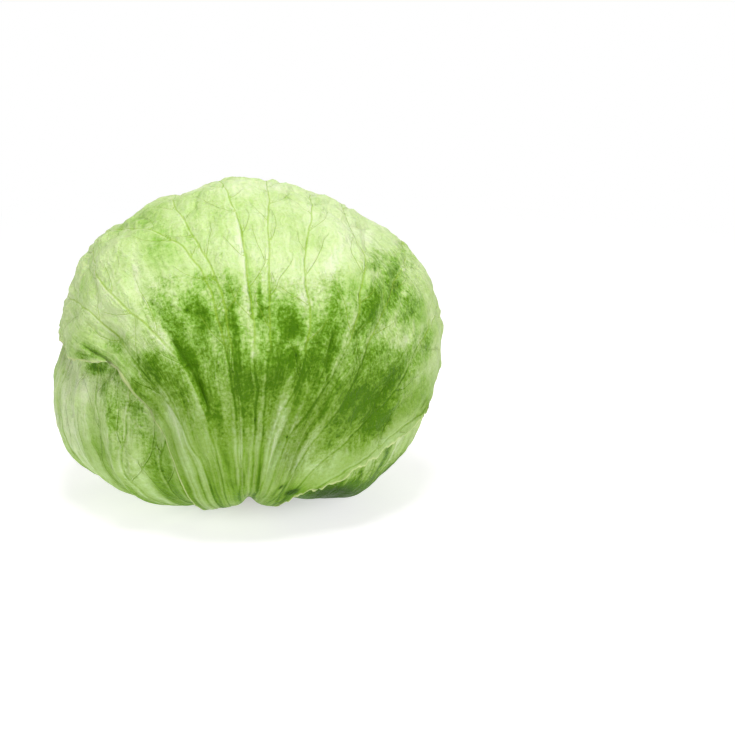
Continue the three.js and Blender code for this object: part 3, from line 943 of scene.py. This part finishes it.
class Shader:
    """A short way to write a node tree."""

    def __init__(self, name):
        self.material = bpy.data.materials.new(name)
        self.material.use_nodes = True
        self.nodes = self.material.node_tree.nodes
        self.links = self.material.node_tree.links
        self.surface = self.nodes["Principled BSDF"]

    def node(self, kind, inputs=(), **settings):
        made = self.nodes.new(kind)
        for key, value in settings.items():
            setattr(made, key, value)
        for key, value in dict(inputs).items():
            self.feed(made.inputs[key], value)
        return made

    def feed(self, socket, value):
        if isinstance(value, bpy.types.NodeSocket):
            self.links.new(value, socket)
        elif socket.type == "RGBA" and len(value) == 3:
            socket.default_value = linear(*value)
        else:
            socket.default_value = value

    def value(self, name):
        return self.node("ShaderNodeAttribute", attribute_name=name).outputs["Fac"]

    def vector(self, name):
        return self.node("ShaderNodeAttribute", attribute_name=name).outputs["Vector"]

    def place(self):
        return self.node("ShaderNodeTexCoord").outputs["Object"]

    def from_axis(self):
        """Distance in metres from the head's upright axis."""
        parts = self.node("ShaderNodeSeparateXYZ", {"Vector": self.place()}).outputs
        squares = [self.times(part, part) for part in (parts["X"], parts["Y"])]
        return self.math("SQRT", self.add(*squares))

    def math(self, operation, *values):
        made = self.node("ShaderNodeMath", operation=operation)
        for socket, value in zip(made.inputs, values):
            self.feed(socket, value)
        return made.outputs[0]

    def ramp(self, value, start, end, low=0.0, high=1.0):
        """low where value is start and high where it is end, with a smooth way between them."""
        inputs = {"Value": value, 1: start, 2: end, 3: low, 4: high}
        return self.node("ShaderNodeMapRange", inputs, interpolation_type="SMOOTHSTEP").outputs[0]

    def scaled(self, vector, scale):
        inputs = {"Vector": vector, "Scale": scale}
        return self.node("ShaderNodeMapping", inputs).outputs[0]

    def noise(self, vector, scale, detail=2.0, roughness=0.5):
        inputs = {"Vector": vector, "Scale": scale, "Detail": detail, "Roughness": roughness}
        return self.node("ShaderNodeTexNoise", inputs).outputs["Fac"]

    def around(self, value, strength):
        """value less a half, times strength."""
        return self.times(self.math("SUBTRACT", value, 0.5), strength)

    def mix(self, share, first, second):
        made = self.node("ShaderNodeMix", data_type="RGBA")
        for key, value in ((0, share), (6, first), (7, second)):
            self.feed(made.inputs[key], value)
        return made.outputs[2]

    def bump(self, height, distance, strength):
        inputs = {"Height": height, "Distance": distance, "Strength": strength}
        return self.node("ShaderNodeBump", inputs).outputs[0]

    def add(self, first, *others):
        for value in others:
            first = self.math("ADD", first, value)
        return first

    def times(self, first, second):
        return self.math("MULTIPLY", first, second)

    def tones(self, value, stops):
        """The colour for a value, from colours as on screen by where they stand between 0 and 1."""
        made = self.node("ShaderNodeValToRGB", {"Fac": value})
        ramp = made.color_ramp
        for place in list(stops)[1:-1]:
            ramp.elements.new(place)
        for element, (place, tone) in zip(ramp.elements, stops.items()):
            element.position = place
            element.color = linear(*tone)
        return made.outputs["Color"]

    def set(self, **sockets):
        for key, value in sockets.items():
            self.feed(self.surface.inputs[key.replace("_", " ")], value)


# Tones as on screen, by how green the leaf is, from 0 to 1. The palest serve painted glints and
# highlights, and the low tones are darker, partly as painted shade.
HIGH_TONES = {
    0.0: (230, 243, 198), 0.2: (212, 233, 168), 0.4: (190, 219, 136), 0.6: (150, 194, 84),
    0.8: (104, 152, 26), 1.0: (78, 126, 2),
}
LOW_TONES = {
    0.0: (206, 228, 168), 0.25: (180, 211, 132), 0.5: (156, 190, 94), 0.75: (126, 168, 48),
    1.0: (84, 130, 4),
}
HEART_TONES = {0.0: (240, 246, 206), 0.4: (222, 234, 164), 0.7: (188, 212, 108), 1.0: (142, 180, 62)}
VEIN_TONE = (162, 196, 66)
# Pale margins: partly the thin edge's own tone, partly painted rim light
PALE_MARGIN_AND_RIM_LIGHT_TONE = (214, 230, 158)
BASE_TONE = (214, 220, 180)
SHADE_TONE = (42, 76, 0)
HEART_PALE, HEART_GREEN = (224, 230, 168), (204, 218, 132)
FLESH_PALE, FLESH_GREEN = (222, 222, 190), (204, 206, 160)
BROWNED_RIM = (188, 130, 92)
MILK_TUBES = (206, 196, 140)

# Places on the stem's cut face, in metres from its middle
RIM_START, RIM_END = 0.0085, 0.0135
RING_RADIUS = 0.0092
RING_WIDTH = 0.0009


def leaf_material(name, high_tones, low_tones):
    """Pale on the crests of its wrinkles and greener in their hollows, as painted light and shade, and
    greener where it lies tight.
    """
    s = Shader(name)
    place = s.place()
    tip, inward, lower = s.value("tip"), s.value("inward"), s.value("lower")

    # Patterns along the grain, which wanders a little
    wobble = s.node("ShaderNodeTexNoise", {"Vector": place, "Scale": 110, "Detail": 2})
    bend = {0: s.vector("grain"), 1: s.scaled(wobble.outputs["Color"], (7, 7, 0))}
    grain = s.node("ShaderNodeVectorMath", bend, operation="ADD").outputs[0]

    def grained(across, along, detail=3, roughness=0.6):
        return s.noise(s.scaled(grain, (across, along, 1)), 1, detail, roughness)

    broad, narrow = grained(0.17, 0.012), grained(0.6, 0.03)
    pleats = grained(0.085, 0.008, 2, 0.45)

    # Patterns across the grain, and with no direction
    ladder, fibre = grained(0.16, 0.42), grained(0.42, 0.2, 4, 0.62)
    crinkle = s.noise(place, 260, 4, 0.62)
    grit = s.noise(place, 800, 3, 0.6)
    clouds = s.noise(place, 42, 3, 0.55)

    # How tight the leaf lies, with fuzzy ends and borders that follow the grain
    stray = s.add(
        s.around(broad, 1.3),
        s.around(crinkle, 0.6),
        s.around(fibre, 0.9),
        s.around(clouds, 1.1),
    )
    tight = s.ramp(s.add(s.value("tight"), s.times(stray, 0.75)), 0.0, 1.45)
    loose = s.ramp(s.value("tight"), 0.05, 0.45, 0.35, 1.0)

    # Veins: a groove in the vein's own tone and partly painted shadow, with a ridge on its left painted
    # pale as lit
    side, reach, width = s.value("vein_side"), s.value("vein_reach"), s.value("vein_width")
    on_line = s.ramp(s.math("DIVIDE", s.math("ABSOLUTE", side), width), 1.5, 0.1)
    groove = s.times(on_line, s.ramp(reach, 0.9, 1.5, 1.0, 0.0))
    left_of = s.math("ABSOLUTE", s.math("ADD", s.math("DIVIDE", side, width), 2.2))
    ridge = s.times(s.ramp(left_of, 1.7, 0.2), s.ramp(reach, 1.6, 2.6, 1.0, 0.0))

    # Wrinkles: across the grain where the leaf lies tight, along it in the lower part
    waves = s.add(s.around(crinkle, 0.9), s.around(fibre, 0.8), s.around(ladder, 0.35))
    lengthwise = s.add(
        s.around(narrow, s.ramp(lower, 0.2, 0.9, 1.0, 0.3)),
        s.around(broad, s.ramp(lower, 0.2, 0.9, 0.8, 0.4)),
        s.around(pleats, s.ramp(lower, 0.1, 0.8, 0.0, 1.8)),
    )
    green = s.add(
        0.31,
        # Greener low on the leaf, partly painted shade
        s.times(lower, 0.22),
        s.around(clouds, 0.6),
        s.times(tight, s.ramp(lower, 0.0, 1.0, 0.78, 0.6)),
        # Paler on the wrinkles' crests and greener in their hollows: painted glints and shade
        s.times(s.times(waves, loose), -0.9),
        # Paler on the raised streaks and greener between them, partly painted light and shade
        s.times(lengthwise, s.ramp(lower, 0.0, 0.6, -0.4, -0.95)),
        # The groove partly painted shadow, and the ridge on its left painted light
        s.times(groove, s.ramp(lower, 0.0, 0.7, 0.12, 0.22)),
        s.times(ridge, s.ramp(lower, 0.0, 0.5, -0.08, -0.1)),
        # Pale places and fold crests, partly painted light, and painted shade
        s.times(s.value("pale"), -0.32),
        s.times(s.value("shade"), 0.35),
        # Pale specks where the fine grit stands up: painted glints
        s.times(s.around(grit, -0.9), loose),
    )
    colour = s.mix(lower, s.tones(green, high_tones), s.tones(green, low_tones))
    colour = s.mix(s.times(groove, s.ramp(lower, 0.0, 0.3, 0.55, 0.0)), colour, VEIN_TONE)
    colour = s.mix(s.ramp(s.value("shade"), 0.5, 1.0, 0.0, 0.8), colour, SHADE_TONE)
    # Pale margins, partly painted rim light
    colour = s.mix(s.ramp(inward, 0.9, 0.2, 0.0, 0.85), colour, PALE_MARGIN_AND_RIM_LIGHT_TONE)
    colour = s.mix(s.ramp(tip, 0.14, 0.05, 0.0, 0.7), colour, BASE_TONE)

    height = s.add(
        s.times(waves, s.ramp(loose, 0.35, 1.0, 0.8, 1.5)),
        s.times(lengthwise, s.ramp(lower, 0.0, 0.8, 0.35, 1.0)),
        s.times(groove, s.ramp(lower, 0.0, 0.5, -0.08, -0.2)),
        s.times(ridge, 0.12),
        s.around(grit, 0.45),
    )
    rough = s.add(s.ramp(crinkle, 0.3, 0.7, 0.42, 0.54), s.times(tight, -0.08))
    s.set(
        Base_Color=colour, Roughness=rough, Normal=s.bump(height, distance=0.0014, strength=1.0),
        Subsurface_Weight=0.15, Subsurface_Radius=(0.6, 1.0, 0.2), Subsurface_Scale=0.0012,
        Specular_IOR_Level=0.1,
    )
    return s.material


def heart_material():
    """Smooth folded leaves, yellow-green in soft clouds."""
    s = Shader("crisp_heart_leaf")
    place = s.place()
    clouds = s.noise(place, 60, 3)
    crumple = s.noise(place, 500, 3)
    colour = s.mix(s.ramp(clouds, 0.35, 0.65), HEART_PALE, HEART_GREEN)
    s.set(
        Base_Color=colour, Roughness=s.ramp(crumple, 0.3, 0.7, 0.4, 0.55),
        Normal=s.bump(crumple, distance=0.0006, strength=0.4), Subsurface_Weight=0.3,
        Subsurface_Radius=(1.0, 1.0, 0.4), Subsurface_Scale=0.002,
    )
    return s.material


def stem_material():
    """Pale moist flesh, with a ring of milk tubes and a browned rim on the cut face."""
    s = Shader("cut_stem")
    place, from_axis = s.place(), s.from_axis()
    blotch = s.noise(place, 240, 4)
    edge = s.add(from_axis, s.around(blotch, 0.006))
    colour = s.mix(s.ramp(blotch, 0.3, 0.7), FLESH_PALE, FLESH_GREEN)
    colour = s.mix(s.ramp(edge, RIM_START, RIM_END, 0.0, 0.8), colour, BROWNED_RIM)
    ring = s.math("ABSOLUTE", s.math("SUBTRACT", from_axis, RING_RADIUS))
    colour = s.mix(s.ramp(ring, RING_WIDTH, 0.0, 0.0, 0.5), colour, MILK_TUBES)
    s.set(
        Base_Color=colour, Roughness=s.ramp(blotch, 0.3, 0.7, 0.32, 0.55),
        Normal=s.bump(s.noise(place, 900, 3), distance=0.0004, strength=0.5),
        Subsurface_Weight=0.3, Subsurface_Radius=(1.0, 1.0, 0.6), Subsurface_Scale=0.002,
    )
    return s.material


# Heart and stem

HEART_MARGINS = 7
GOLDEN_ANGLE = 137.5  # degrees from one leaf of the heart to the next
MARGIN_STEP = 0.5  # mm down from a margin
CORE_HOLLOW = 18  # mm from the middle to the hollow for the core
# Radius and height in mm, from the cut face's edge up to the core's point
STEM_PROFILE = [(13.4, 0.9), (14, 2.4), (14, 12), (13, 24), (9.5, 36), (4.5, 44), (1.2, 45.6)]


def ball_faces(rings, around):
    """Faces of a ball of rings from the lowest point to the highest."""
    faces = []
    last = 1 + (rings - 1) * around

    def place(i, j):
        return 1 + (j - 1) * around + i % around

    for i in range(around):
        faces.append((0, place(i + 1, 1), place(i, 1)))
        for j in range(1, rings - 1):
            faces.append((place(i, j), place(i + 1, j), place(i + 1, j + 1), place(i, j + 1)))
        faces.append((last, place(i, rings - 1), place(i + 1, rings - 1)))
    return faces


def make_heart(material):
    """The dense ball of inner leaves: each ends in a waved margin that steps down to the next."""
    rings, around = 90, 150
    above = np.radians(-90 + 180 * np.arange(1, rings) / rings)
    azimuth = 2 * np.pi * np.arange(around) / around
    h, a = np.meshgrid(above, azimuth, indexing="ij")
    d = stack(np.cos(h) * np.cos(a), np.cos(h) * np.sin(a), np.sin(h)).reshape(-1, 3)
    d = np.vstack([[0, 0, -1], d, [0, 0, 1]])
    r = heart_radius(d, layers_at(d)) - HEART_CLEARANCE
    chance = np.random.default_rng(3)
    for turn in range(HEART_MARGINS):
        reach = angle_from(d, direction(turn * GOLDEN_ANGLE, chance.uniform(10, 50)))
        margin = 62 + 3 * noise(d * 5 + 3 * turn)
        r = r - MARGIN_STEP * smooth(margin - 1.2, margin + 1.2, reach)
    r = r + 0.35 * rough_noise(d * 9) - 0.3
    # The hollow that the stem's core fills
    hollow = smooth(26, 15, angle_from(d, DOWN))
    r = r * (1 - hollow) + np.minimum(r, CORE_HOLLOW) * hollow
    places = d * r[:, None] + MIDDLE
    piece("heart_fine", places, ball_faces(rings, around), "heart_leaf", material, "heart")


def make_stem(material):
    """The butt with its knife cut and leaf scars, narrowing to the core's blunt point."""
    around, levels, rings = 96, 60, 9
    turn = 2 * np.pi * np.arange(around) / around
    places = [(0, 0, 0.35)]
    for j in range(1, rings + 1):
        r = (STEM_RADIUS - 1) * j / rings
        x, y = r * np.cos(turn), r * np.sin(turn)
        marks = 0.14 * np.sin(5 * r * np.cos(turn - 0.4)) + 0.12 * noise(stack(x, y, 3.0) / 3)
        rise = (0.25 + marks) * (1 - smooth(0.8, 1, j / rings))
        places += list(stack(x, y, np.maximum(0, rise)))
    for r, z in smooth_line(STEM_PROFILE)(np.linspace(0, 1, levels)):
        out = r - 0.25 + 0.2 * noise(stack(2.2 * np.cos(turn), 2.2 * np.sin(turn), z / 5))
        places += list(stack(out * np.cos(turn), out * np.sin(turn), z))
    places.append((0, 0, CORE_HEIGHT))
    faces = ball_faces(rings + levels + 1, around)
    piece("stem_fine", np.array(places), faces, "stem", material, "stem")


# The object

outer_skin = leaf_material("outer_leaf_skin", HIGH_TONES, LOW_TONES)
inner_skin = leaf_material("inner_leaf_skin", HEART_TONES, HEART_TONES)

for number, leaf in enumerate(LEAVES):
    lines = front_veins() if leaf is FRONT else fan_veins(leaf, 11 + number)
    skin = inner_skin if leaf["slot"] == "inner_leaf" else outer_skin
    make_leaf_piece(leaf, lines, skin)
make_heart(heart_material())
make_stem(stem_material())

# The stage, in metres: a white sweep of floor, a soft light above, and others on both sides and behind

FLOOR_REACH = 6.0
FLOOR_GLOW = 0.72  # the floor's own light near the head
FLOOR_TONE = 0.55
# It gives back a little less green, so that the light from the leaves leaves it grey.
FLOOR_GREEN = 0.94
# The floor is its own tone up to the first distance, and as white as the backdrop past the second.
POOL = (0.18, 0.75)
# Around the foot it gives less light, so the shadow there is dark.
FOOT = (0.012, 0.055)
FOOT_SHARE = 0.6
SKY_LIGHT = 0.3

# Place, size in metres and power in watts
LIGHTS = {
    "overhead": ((0.02, -0.24, 0.86), 0.36, 5),
    "left_fill": ((-0.9, -0.8, 0.4), 0.5, 0.9),
    "right_fill": ((0.7, -1.0, 0.5), 0.5, 3.4),
    "back_fill": ((0.2, 1.1, 0.7), 0.6, 2.2),
}


def make_floor():
    mesh = bpy.data.meshes.new("floor")
    outline = [(FLOOR_REACH * x, FLOOR_REACH * y, 0) for x, y in ((-1, -1), (1, -1), (1, 1), (-1, 1))]
    mesh.from_pydata(outline, [], [(0, 1, 2, 3)])
    s = Shader("white_floor")
    away = s.from_axis()
    own_light = s.times(s.ramp(away, *POOL, FLOOR_GLOW, 1.0), s.ramp(away, *FOOT, FOOT_SHARE, 1.0))
    grey = s.ramp(away, *POOL, FLOOR_TONE, 0.0)
    tone = {"Red": grey, "Green": s.times(grey, FLOOR_GREEN), "Blue": grey}
    s.set(
        Base_Color=s.node("ShaderNodeCombineColor", tone).outputs[0], Roughness=1.0,
        Specular_IOR_Level=0.0, Emission_Color=(1, 1, 1, 1), Emission_Strength=own_light,
    )
    mesh.materials.append(s.material)
    thing = bpy.data.objects.new("floor", mesh)
    scene.collection.objects.link(thing)


def set_up(name, data, place, way):
    """A lamp or camera at a place in metres that looks this way."""
    thing = bpy.data.objects.new(name, data)
    scene.collection.objects.link(thing)
    thing.location = place
    thing.rotation_mode = "QUATERNION"
    thing.rotation_quaternion = Vector(way).to_track_quat("-Z", "Y")
    return thing


def make_light(name, place, size, power):
    """A round soft light that looks at the head's middle."""
    light = bpy.data.lights.new(name, "AREA")
    light.shape = "DISK"
    light.size = size
    light.energy = power
    set_up(name, light, place, Vector(MIDDLE * METRE) - Vector(place))


def make_world():
    """A backdrop that looks white, and gives less light than it shows."""
    world = bpy.data.worlds.new("studio")
    scene.world = world
    world.use_nodes = True
    tree = world.node_tree
    background = tree.nodes["Background"]
    background.inputs["Color"].default_value = (1, 1, 1, 1)
    seen = tree.nodes.new("ShaderNodeLightPath").outputs["Is Camera Ray"]
    strength = tree.nodes.new("ShaderNodeMapRange")
    strength.inputs["To Min"].default_value = SKY_LIGHT
    strength.inputs["To Max"].default_value = 1.0
    tree.links.new(seen, strength.inputs["Value"])
    tree.links.new(strength.outputs[0], background.inputs["Strength"])


def make_camera():
    camera = bpy.data.cameras.new("camera")
    camera.lens = LENS
    camera.sensor_width = SENSOR
    scene.camera = set_up("camera", camera, EYE * METRE, AHEAD)


scene.view_settings.view_transform = "Standard"
make_floor()
make_world()
for name, (place, size, power) in LIGHTS.items():
    make_light(name, place, size, power)
make_camera()
